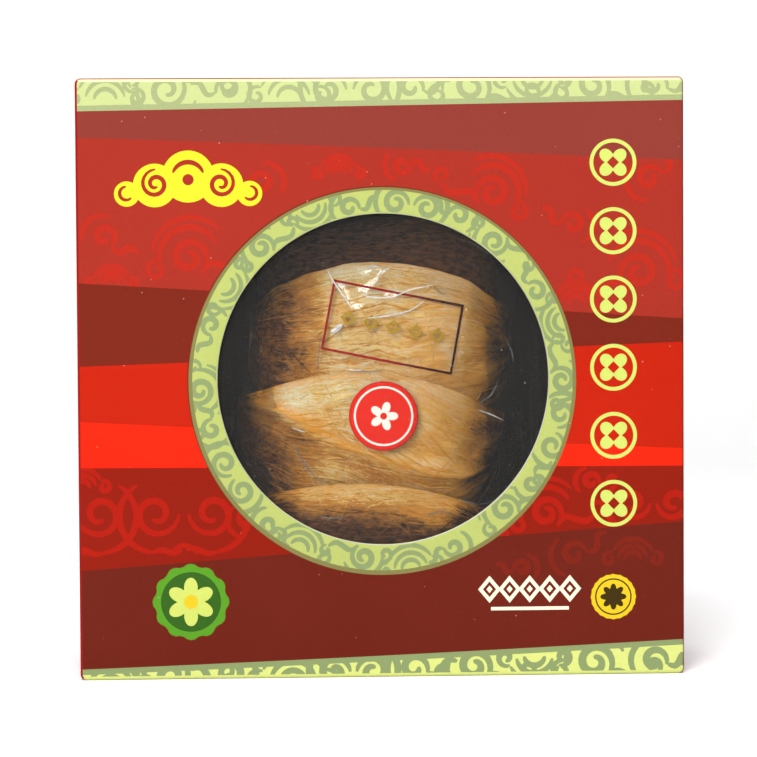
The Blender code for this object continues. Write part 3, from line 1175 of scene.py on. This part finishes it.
def grow_strands(nest):
    """Curves with every strand of one nest, one curve for each tone."""
    draw = random.Random(int(nest["seed"] * 10))
    groups = [thread_curve() for tone in range(TONES)]
    for number in range(nest["strands"]):
        points, radius, tone = draw_strand(nest, draw)
        add_thread(groups[int(tone * TONES)], points, radius)
    return groups


# %% Nest finish: dried golden strands, pale where dense and amber where thin
def strand_finish():
    finish = Finish("dried_strands", Roughness=0.5, Subsurface_Weight=0.2,
                    Subsurface_Scale=0.003, Specular_IOR_Level=0.5)
    finish.shader.inputs["Subsurface Radius"].default_value = (1.0, 0.45, 0.15)
    where = finish.place()[1]
    tone = Value(finish, finish.attribute("tone").outputs["Fac"])
    gold = Value(finish, finish.attribute("gold").outputs["Fac"])
    streak = finish.noise(finish.stretch(where, (0.30, 1, 1)), 1100, 4.0, 0.65)
    broad = finish.noise(finish.stretch(where, (0.5, 1, 1)), 170, 3.0, 0.6, 0.4)
    mat = finish.noise(where, 480, 4.0, 0.65)
    level = tone * 0.75 + streak * 0.40 + mat * 0.55 - 0.32
    colour = finish.mix(level.ramp(0.05, 0.40), paint(214, 142, 54), paint(251, 210, 122))
    colour = finish.mix(level.ramp(0.30, 0.74), colour, paint(255, 248, 212))
    golden = (broad.ramp(0.44, 0.66) * 0.22 + gold * 0.75).least(0.88)
    colour = finish.mix(golden, colour, paint(250, 172, 46))
    # Brown where the tone runs low, which is mostly where it carries painted shade.
    brown = finish.mix((mat * 0.6 + streak * 1.4).ramp(0.80, 1.25),
                       paint(60, 30, 12), paint(122, 70, 30))
    colour = finish.mix(level.ramp(-0.64, 0.14), brown, colour)
    finish.set("Base Color", colour)
    finish.set("Roughness", streak * 0.25 + 0.36)
    finish.bump(streak + mat * 1.2, 0.00018, 0.9)
    return finish


nest_finish = strand_finish()


# %% Build the nests
def build_nest(name, nest):
    whole = nest_body(nest)
    tone_layer = whole.verts.layers.float["tone"]
    for number, curve in enumerate(grow_strands(nest)):
        for vert in add_threads_mesh(whole, curve):
            vert[tone_layer] = (number + 0.5) / TONES
    gold_layer = whole.verts.layers.float.new("gold")
    for vert in whole.verts:
        share, part = nest_spot(nest, vert.co)
        vert[tone_layer] += skin_tone(nest, share, part)
        vert[gold_layer] = skin_gold(nest, share, part)
    bmesh.ops.transform(whole, matrix=nest_place(nest), verts=whole.verts)
    piece = add_piece(name + "_fibres", whole, nest_finish, 60)
    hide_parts(name)
    return piece


nest_pieces = {name: build_nest(name, nest) for name, nest in NESTS.items()}

# %% [markdown]
# ## The pouch
# The pouch is thin clear film that the nests push out from inside. Its front is found as a
# stretched skin: a grid of points is pulled level with its neighbours again and again, but may
# never sink into what lies behind it. Creases are then pressed into it along a few lines and a
# fine crumple is added, because the eye sees film only by its bright folds.

# %% Pouch outline, as the solid has it
POUCH_FOOT, POUCH_MOUTH = 0.0040, 0.1598
FOOT_SEAM = 0.0038
FRONT_ARCH, BACK_ARCH = 2.5, 3.2
POUCH_FRONT_LINE = [
    (0.0038, -0.0060), (0.012, -0.0165), (0.024, -0.0245), (0.040, -0.0280), (0.060, -0.0282),
    (0.076, -0.0272), (0.090, -0.0262), (0.105, -0.0218), (0.120, -0.0140), (0.133, -0.0078),
    (0.146, -0.0010), (0.160, 0.0020),
]
FRONT_LIMIT = -0.0284
FILM_CELL = 0.0008
FILM_HALF = 0.0588
CLEAR_OF_NESTS = 0.0003


def foot_curve(z, height):
    """How far the foot has rounded out: 0 at its seam, 1 from a height on."""
    return math.sqrt(min(1.0, max(0.0, (z - FOOT_SEAM) / height)))


def pouch_half_width(z):
    return 0.034 + 0.014 * foot_curve(z, 0.030) + 0.010 * smooth_step(0.105, 0.160, z) - 0.0002


def pouch_front(z):
    return float(np.interp(z, *zip(*POUCH_FRONT_LINE)))


def pouch_back(z):
    return 0.0288 - 0.018 * (1 - foot_curve(z, 0.040)) - 0.026 * smooth_step(0.120, 0.160, z)


# %% What the film has to pass in front of
def nest_fronts(columns, rows):
    """Depth of the foremost nest behind each grid point, or infinity where there is none."""
    depths = np.full((len(rows), len(columns)), np.inf)
    for piece in nest_pieces.values():
        builder = bmesh.new()
        builder.from_mesh(piece.data)
        tree = BVHTree.FromBMesh(builder)
        builder.free()
        for row, z in enumerate(rows):
            for column, x in enumerate(columns):
                hit = tree.ray_cast(Vector((x, -0.05, z)), Vector((0, 1, 0)))[0]
                if hit is not None:
                    depths[row, column] = min(depths[row, column], hit.y)
    return depths


def grid_line(low, high, cell):
    return np.linspace(low, high, int(round((high - low) / cell)) + 1)


film_columns = grid_line(-FILM_HALF, FILM_HALF, FILM_CELL)
film_rows = grid_line(POUCH_FOOT, POUCH_MOUTH, FILM_CELL)
behind = nest_fronts(film_columns, film_rows)
print("film grid", len(film_columns), "by", len(film_rows))

# %% Stretch the film over the nests
FILM_PULLS = 900
PULL_SHARE = 0.9


def stretch_film():
    """Depth of the front film on the grid, in metres."""
    low = behind - CLEAR_OF_NESTS
    seam = np.array([(pouch_front(z) + pouch_back(z)) / 2 for z in film_rows])
    half = np.array([pouch_half_width(z) for z in film_rows])
    front = np.array([pouch_front(z) for z in film_rows])
    across = np.clip(np.abs(film_columns)[None, :] / half[:, None], 0, 1)
    arch = (1 - across ** FRONT_ARCH) ** (1 / FRONT_ARCH)
    loose = seam[:, None] + (front - seam)[:, None] * arch
    depth = np.minimum(loose, low)
    held = across >= 1
    held[[0, -1], :] = True
    for pull in range(FILM_PULLS):
        around = (np.roll(depth, 1, 0) + np.roll(depth, -1, 0)
                  + np.roll(depth, 1, 1) + np.roll(depth, -1, 1)) / 4
        taut = np.minimum(around, low)
        depth = np.where(held, loose, depth + PULL_SHARE * (taut - depth))
    return np.maximum(depth, FRONT_LIMIT)


film_depth = stretch_film()
print("film reaches", round(float(film_depth.min()) / MM, 2), "mm")

# %% Creases: each is a line of points with its height and width in millimetres
CREASES = [
    ([(-14.8, 116.6), (-8.2, 105.8)], 0.55, 1.1),
    ([(3.4, 117.8), (-1.0, 112.9), (-4.5, 110.1)], 0.50, 1.0),
    ([(-4.5, 110.1), (4.0, 108.6), (9.5, 110.4), (15.5, 112.3)], 0.45, 1.0),
    ([(-10.2, 102.9), (-2.0, 107.6), (6.0, 109.4), (12.6, 108.6)], 0.40, 1.2),
    ([(-17.9, 96.6), (-18.5, 89.5)], 0.35, 1.0),
    ([(28.4, 75.2), (31.0, 73.2), (35.6, 73.7)], 0.60, 1.0),
    ([(31.0, 73.2), (33.5, 66.0), (36.5, 60.5)], 0.55, 1.2),
    ([(-41.0, 109.0), (-35.0, 99.0), (-34.0, 88.0), (-38.0, 78.0)], 0.70, 1.5),
    ([(-36.0, 112.0), (-29.0, 104.0), (-25.0, 95.0)], 0.55, 1.3),
    ([(34.0, 108.0), (38.0, 96.0), (37.0, 84.0), (40.0, 70.0)], 0.70, 1.5),
    ([(42.0, 100.0), (44.5, 84.0), (42.0, 66.0)], 0.60, 1.4),
    ([(-30.0, 44.0), (-20.0, 39.0), (-8.0, 41.0)], 0.50, 1.4),
    ([(36.0, 52.0), (28.0, 42.0), (16.0, 38.0)], 0.50, 1.4),
    ([(-22.0, 124.0), (-8.0, 127.0), (6.0, 123.0), (22.0, 126.0)], 0.60, 1.8),
    ([(-44.0, 60.0), (-38.0, 50.0), (-37.0, 38.0)], 0.60, 1.5),
]


# Fine crumple, coarse to fine: height, level, size and place in the noise
CRUMPLE = [(0.90, 0.35, 15, (3, 1, 4)), (0.40, 0.30, 6.5, (9, 2, 6)),
           (0.16, 0.30, 3.2, (5, 8, 2))]


def distance_to_line(points, xs, zs):
    """Distance in millimetres from each grid point to a line of points."""
    nearest = np.full(xs.shape, np.inf)
    for (x0, z0), (x1, z1) in zip(points, points[1:]):
        run_x, run_z = x1 - x0, z1 - z0
        part = ((xs - x0) * run_x + (zs - z0) * run_z) / (run_x ** 2 + run_z ** 2)
        part = np.clip(part, 0, 1)
        nearest = np.minimum(nearest, np.hypot(xs - x0 - part * run_x, zs - z0 - part * run_z))
    return nearest


def crease_film(depth):
    """Presses the creases and a fine crumple into the film."""
    xs, zs = np.meshgrid(film_columns / MM, film_rows / MM)
    raised = np.zeros(depth.shape)
    for points, height, width in CREASES:
        away_from = distance_to_line(points, xs, zs)
        raised += height * (np.exp(-away_from / width) - 0.35 * np.exp(-away_from / (2.5 * width)))
    crumple = np.zeros(depth.shape)
    for row, column in np.ndindex(depth.shape):
        spot = Vector((xs[row, column], zs[row, column], 0))
        for height, level, size, shift in CRUMPLE:
            fold = abs(noise.noise(spot / size + Vector(shift)))
            crumple[row, column] += height * (level - fold)
    slack = np.clip(np.hypot(xs / 44, (zs - 74) / 50) ** 2, 0.28, 1.0)
    creased = depth - (raised + crumple * slack) * MM
    return np.maximum(np.minimum(creased, behind - CLEAR_OF_NESTS / 2), FRONT_LIMIT)


film_depth = crease_film(film_depth)


def film_y(x, z):
    """Depth of the front film at any place, between the grid's points."""
    column = (x - film_columns[0]) / (film_columns[1] - film_columns[0])
    row = (z - film_rows[0]) / (film_rows[1] - film_rows[0])
    column = min(max(column, 0.0), len(film_columns) - 1.001)
    row = min(max(row, 0.0), len(film_rows) - 1.001)
    left, low = int(column), int(row)
    across, up = column - left, row - low
    lower = film_depth[low, left] * (1 - across) + film_depth[low, left + 1] * across
    upper = film_depth[low + 1, left] * (1 - across) + film_depth[low + 1, left + 1] * across
    return float(lower * (1 - up) + upper * up)


# %% Sew the pouch: one ring of points, drawn up from foot to mouth
FRONT_POINTS = 150
BACK_POINTS = 30
POUCH_RINGS = 170
FILM_THICKNESS = 0.00008


def pouch_ring(number, z):
    """Place of one point of the pouch's ring at a height; the front comes first."""
    half = pouch_half_width(z)
    seam = (pouch_front(z) + pouch_back(z)) / 2
    if number <= FRONT_POINTS:
        across = math.sin(math.pi * (number / FRONT_POINTS - 0.5))
        x = half * (0.75 * across + 0.25 * (2 * number / FRONT_POINTS - 1))
        near_seam = smooth_step(0.93, 1.0, abs(x) / half)
        return Vector((x, film_y(x, z) * (1 - near_seam) + seam * near_seam, z))
    across = math.cos(math.pi * (number - FRONT_POINTS) / BACK_POINTS)
    arch = (1 - abs(across) ** BACK_ARCH) ** (1 / BACK_ARCH)
    return Vector((half * across, seam + (pouch_back(z) - seam) * arch, z))


def sew_pouch():
    sheet = bmesh.new()
    number_layer = sheet.verts.layers.int.new("number")
    first = bmesh.ops.create_circle(sheet, segments=FRONT_POINTS + BACK_POINTS, radius=1.0)
    for number, vert in enumerate(first["verts"]):
        vert[number_layer] = number
        vert.co = pouch_ring(number, POUCH_FOOT)
    ring = list(sheet.edges)
    for level in range(1, POUCH_RINGS + 1):
        z = POUCH_FOOT + (POUCH_MOUTH - POUCH_FOOT) * level / POUCH_RINGS
        grown = bmesh.ops.extrude_edge_only(sheet, edges=ring)["geom"]
        for vert in only(bmesh.types.BMVert, grown):
            vert.co = pouch_ring(vert[number_layer], z)
        ring = [edge for edge in only(bmesh.types.BMEdge, grown) if edge.is_boundary]
    foot = [edge for edge in sheet.edges if edge.is_boundary
            and edge.verts[0].co.z < POUCH_FOOT + 0.0001]
    bmesh.ops.triangle_fill(sheet, edges=foot, use_beauty=True)
    bmesh.ops.recalc_face_normals(sheet, faces=sheet.faces)
    return sheet


# %% Stamp in the film: a red frame and a row of small diamonds, printed with an uneven pad
STAMP_MIDDLE = (3.75 * MM, 100.4 * MM)
STAMP_HALF = (19.4 * MM, 10.3 * MM)
STAMP_LINE = 0.7 * MM
STAMP_TURN = math.radians(-11.5)
DIAMOND_PITCH = 6.6 * MM
DIAMOND_HALF = 2.3 * MM

pouch_finish, pouch_surface = clear_film("pouch_film", 0.07, 0.002, 0.08, 0.03, 0.00006)
(fx, fy, fz), where = pouch_finish.place()
right, up = fx - STAMP_MIDDLE[0], fz - STAMP_MIDDLE[1]
along = right * math.cos(STAMP_TURN) + up * math.sin(STAMP_TURN)
over = up * math.cos(STAMP_TURN) - right * math.sin(STAMP_TURN)
outer = (abs(along) < STAMP_HALF[0]) * (abs(over) < STAMP_HALF[1])
inner = ((abs(along) < STAMP_HALF[0] - STAMP_LINE)
         * (abs(over) < STAMP_HALF[1] - STAMP_LINE))
cell = (along + DIAMOND_PITCH * 2.5).join("MODULO", DIAMOND_PITCH) - DIAMOND_PITCH / 2
lozenge = ((abs(cell) + abs(over)) < DIAMOND_HALF) * (abs(along) < DIAMOND_PITCH * 2.5)
heart = (abs(cell) + abs(over)) < DIAMOND_HALF * 0.45
front_only = fy < 0.0
pad = pouch_finish.noise(where, 900, 3.0, 0.6).ramp(0.30, 0.62)
frame_ink = pouch_finish.node("ShaderNodeBsdfDiffuse")
# The frame's line darkens towards its right end.
line_colour = pouch_finish.mix(along.ramp(-0.004, 0.015), paint(150, 16, 22), paint(52, 8, 16))
pouch_finish.feed(frame_ink.inputs["Color"], line_colour)
diamond_ink = pouch_finish.node("ShaderNodeBsdfDiffuse", None,
                                {"Color": paint(176, 140, 40)})
pouch_surface = pouch_finish.blend_shaders(
    (outer - inner) * front_only * (pad * 0.25 + 0.75), pouch_surface, frame_ink.outputs[0])
pouch_surface = pouch_finish.blend_shaders(
    (lozenge - heart) * front_only * (pad * 0.3 + 0.55), pouch_surface, diamond_ink.outputs[0])
pouch_finish.finish_with(pouch_surface)

pouch_piece = add_piece("film_pouch", sew_pouch(), pouch_finish, 40)
thicken(pouch_piece, "film", FILM_THICKNESS, 0)
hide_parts("pouch")

# %% [markdown]
# ## Painted fold highlights
# The bright edges of the film's sharp folds are painted: white threads laid along the creases
# on the film, tapered at both ends, stand in for the highlights that the folds catch. Sharp ones
# shine and faint ones are nearly clear.

# %% Painted fold highlights: radius, then places on the film, in millimetres
SHARP_FOLD_HIGHLIGHTS = [
    (0.26, [(-15.0, 117.3), (-13.6, 114.2), (-10.1, 109.0), (-7.9, 105.6)]),
    (0.24, [(3.7, 117.7), (1.3, 116.8), (-0.1, 115.3), (-0.8, 113.5), (-1.9, 112.5)]),
    (0.24, [(-2.8, 111.6), (-4.2, 110.1), (-3.0, 109.2), (1.0, 108.9),
            (5.1, 109.5), (7.9, 110.9), (11.4, 111.7), (15.7, 112.5)]),
    (0.22, [(-3.9, 103.0), (1.0, 103.5), (5.8, 104.3), (9.3, 105.4), (11.5, 106.8), (13.1, 108.0)]),
    (0.75, [(-14.4, 98.9), (-12.9, 99.7), (-10.9, 101.3)]),
    (0.20, [(-3.9, 117.5), (-2.4, 118.2), (-0.1, 117.6)]),
    (0.18, [(28.7, 75.9), (31.2, 75.1), (34.1, 73.8), (36.5, 72.6)]),
    (0.16, [(-10.1, 88.4), (-7.9, 88.1), (-5.1, 88.2)]),
    (0.15, [(-25.9, 71.6), (-24.1, 70.9), (-22.0, 70.3)]),
]
FAINT_FOLD_HIGHLIGHTS = [
    (0.20, [(-17.3, 97.9), (-17.7, 93.8), (-18.3, 88.1)]),
    (0.18, [(15.7, 112.5), (18.3, 109.9), (19.7, 110.3)]),
    (0.16, [(28.7, 75.9), (29.9, 78.7), (32.6, 80.1), (34.9, 84.1)]),
    (0.16, [(-18.4, 46.3), (-14.8, 45.5), (-10.5, 46.0)]),
    (0.14, [(12.8, 46.0), (16.6, 47.1), (20.5, 46.4)]),
    (0.16, [(23.1, 50.3), (28.7, 48.6), (33.5, 49.4)]),
    (0.20, [(-25.2, 66.7), (-23.8, 63.3), (-19.7, 58.0), (-17.0, 55.5)]),
    (0.14, [(-7.3, 87.9), (-3.2, 87.7), (1.0, 88.4)]),
    (0.14, [(-36.9, 100.6), (-37.7, 95.2), (-38.4, 93.0)]),
    (0.14, [(37.6, 96.5), (39.4, 92.6), (40.1, 89.0)]),
    (0.16, [(23.8, 125.7), (28.0, 124.6), (32.5, 121.4)]),
]
FOLD_STEP = 0.7
FOLD_LIFT = 0.0001


def fold_path(knots):
    """Points of a fold on the film: the line through its knots, rounded and set close."""
    line = [Vector(knot) for knot in knots]
    path = []
    for number, (first, last) in enumerate(zip(line, line[1:])):
        before = line[max(0, number - 1)]
        after = line[min(len(line) - 1, number + 2)]
        steps = max(2, int((last - first).length / FOLD_STEP))
        for step in range(steps):
            part = step / steps
            bend = ((after - last) - (first - before)) * (part * (part - 1)) * 0.25
            path.append(first.lerp(last, part) + bend)
    path.append(line[-1])
    return [Vector((x * MM, film_y(x * MM, z * MM) - FOLD_LIFT, z * MM)) for x, z in path]


def paint_fold_highlights():
    threads = bmesh.new()
    highlight_strength_layer = threads.verts.layers.float.new("strength")
    for strength, folds in ((0.95, SHARP_FOLD_HIGHLIGHTS), (0.16, FAINT_FOLD_HIGHLIGHTS)):
        curve = thread_curve()
        for radius, knots in folds:
            add_thread(curve, fold_path(knots), radius * MM, 0.15)
        for vert in add_threads_mesh(threads, curve):
            vert[highlight_strength_layer] = strength
    return threads


# A white finish, partly see-through, for the painted fold highlights.
fold_highlight_finish = Finish("fold_highlight_paint", Roughness=0.2)
where = fold_highlight_finish.place()[1]
strength = Value(fold_highlight_finish, fold_highlight_finish.attribute("strength").outputs["Fac"])
broken = fold_highlight_finish.noise(where, 500, 3.0, 0.6).ramp(0.30, 0.60)
fold_highlight_finish.shader.inputs["Base Color"].default_value = (0.95, 0.95, 0.94, 1)
fold_highlight_finish.set("Alpha", strength * (broken * 0.45 + 0.55))
fold_highlights_piece = add_piece("film_fold_highlights", paint_fold_highlights(), fold_highlight_finish, 60)

# %% [markdown]
# ## The round label
# A small paper label sticks to the front of the pouch and follows its bend. It is a disc of
# rings laid on the film's surface, thickened outwards. Its mark is a plain blossom, made from the
# distance and the angle to its middle.

# %% Label on the film
LABEL_X, LABEL_Z, LABEL_RADIUS = 0.0006, 0.0749, 0.0100
LABEL_THICKNESS = 0.00014
LABEL_LIFT = 0.00012
LABEL_RINGS = 9


def cut_label():
    disc_mesh = bmesh.new()
    bmesh.ops.create_circle(disc_mesh, cap_ends=True, segments=72, radius=LABEL_RADIUS)
    for ring in range(1, LABEL_RINGS):
        middle = max(disc_mesh.faces, key=lambda face: len(face.verts))
        bmesh.ops.inset_individual(disc_mesh, faces=[middle], use_even_offset=True,
                                   thickness=LABEL_RADIUS / LABEL_RINGS)
    for vert in disc_mesh.verts:
        x, z = LABEL_X + vert.co.x, LABEL_Z + vert.co.y
        nearby = [film_y(x + dx * MM, z + dz * MM) for dx in (-1, 0, 1) for dz in (-1, 0, 1)]
        vert.co = (x, min(nearby) - LABEL_LIFT, z)
    bmesh.ops.recalc_face_normals(disc_mesh, faces=disc_mesh.faces)
    if sum(face.normal.y for face in disc_mesh.faces) > 0:
        bmesh.ops.reverse_faces(disc_mesh, faces=disc_mesh.faces)
    return disc_mesh


label = Finish("label_paper", Roughness=0.35, Specular_IOR_Level=0.15)
(sx, _, sz), where = label.place()
right, up = sx - LABEL_X, sz - LABEL_Z
reach = (right * right + up * up) ** 0.5 / LABEL_RADIUS
around = up.join("ARCTAN2", right)
petals = abs((around * 2.5).join("COSINE"))
flower = reach < petals * 0.26 + 0.16
pale = ((reach > 0.80) * (reach < 0.86)).most(flower * (reach > 0.10))
fine = label.noise(where, 1200, 3.0, 0.6)
label_red = label.mix(fine, paint(208, 24, 2), paint(222, 30, 5))
label.set("Base Color", label.mix(pale * 0.92, label_red, paint(250, 238, 226)))
label.set("Roughness", fine * 0.15 + 0.28)
label.bump(fine, 0.00003, 0.5)
label_piece = add_piece("round_label", cut_label(), label, 60)
thicken(label_piece, "paper", LABEL_THICKNESS, 1)
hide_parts("sticker")

# %% [markdown]
# ## Light and ground
# The box stands on a white sweep: a floor that curves up into a wall, so that no horizon shows.
# A soft key light above and in front, a little to the left, gives the film its glints; the bright
# edges of its folds are painted threads. Three wide lights, which gloss doesn't mirror, fill the
# shadows and whiten the sweep. The world is only a white background.

# %% Sweep
SWEEP_FRONT, SWEEP_BACK, SWEEP_TOP = -3.0, 1.6, 3.0
SWEEP_BEND = 0.8
SWEEP_HALF_WIDTH = 3.0


def sweep_ground():
    sweep = bmesh.new()
    profile = [(SWEEP_FRONT, 0.0), (SWEEP_BACK - SWEEP_BEND, 0.0)]
    for step in range(1, 13):
        angle = math.pi / 2 * step / 12
        profile.append((SWEEP_BACK - SWEEP_BEND + SWEEP_BEND * math.sin(angle),
                        SWEEP_BEND * (1 - math.cos(angle))))
    profile.append((SWEEP_BACK, SWEEP_TOP))
    verts = [sweep.verts.new((-SWEEP_HALF_WIDTH, y, z)) for y, z in profile]
    edges = [sweep.edges.new(pair) for pair in zip(verts, verts[1:])]
    grown = bmesh.ops.extrude_edge_only(sweep, edges=edges)["geom"]
    bmesh.ops.translate(sweep, verts=only(bmesh.types.BMVert, grown),
                        vec=(2 * SWEEP_HALF_WIDTH, 0, 0))
    bmesh.ops.recalc_face_normals(sweep, faces=sweep.faces)
    return sweep


ground_finish = Finish("white_ground", Roughness=0.9)
ground_finish.shader.inputs["Base Color"].default_value = (0.92, 0.92, 0.92, 1)
ground = new_object("sweep", sweep_ground(), ground_finish)
ground.visible_glossy = False

# %% Lights
def soft_light(name, size, power, location, target, mirrored=True):
    """A square light that faces a target; glossy skins don't show one that isn't mirrored."""
    lamp = bpy.data.lights.new(name, "AREA")
    lamp.size = size
    lamp.energy = power
    light = bpy.data.objects.new(name, lamp)
    light.location = location
    light.rotation_euler = (Vector(target) - Vector(location)).to_track_quat("-Z", "Y").to_euler()
    light.visible_glossy = mirrored
    scene.collection.objects.link(light)


soft_light("key", 0.40, 14, (-0.12, -0.95, 1.30), BOX_MIDDLE)
soft_light("front", 1.2, 38, (-0.75, -1.85, 0.72), BOX_MIDDLE, mirrored=False)
soft_light("side", 1.2, 7, (1.5, -1.5, 0.6), BOX_MIDDLE, mirrored=False)
soft_light("top", 2.0, 40, (0, -0.1, 2.3), (0, 0.4, 0), mirrored=False)

world = bpy.data.worlds.new("studio")
scene.world = world
world.use_nodes = True
sky = world.node_tree.nodes["Background"]
sky.inputs["Color"].default_value = (1, 1, 1, 1)
sky.inputs["Strength"].default_value = 1.0
world.cycles_visibility.diffuse = False
world.cycles_visibility.glossy = False
scene.view_settings.view_transform = "Standard"
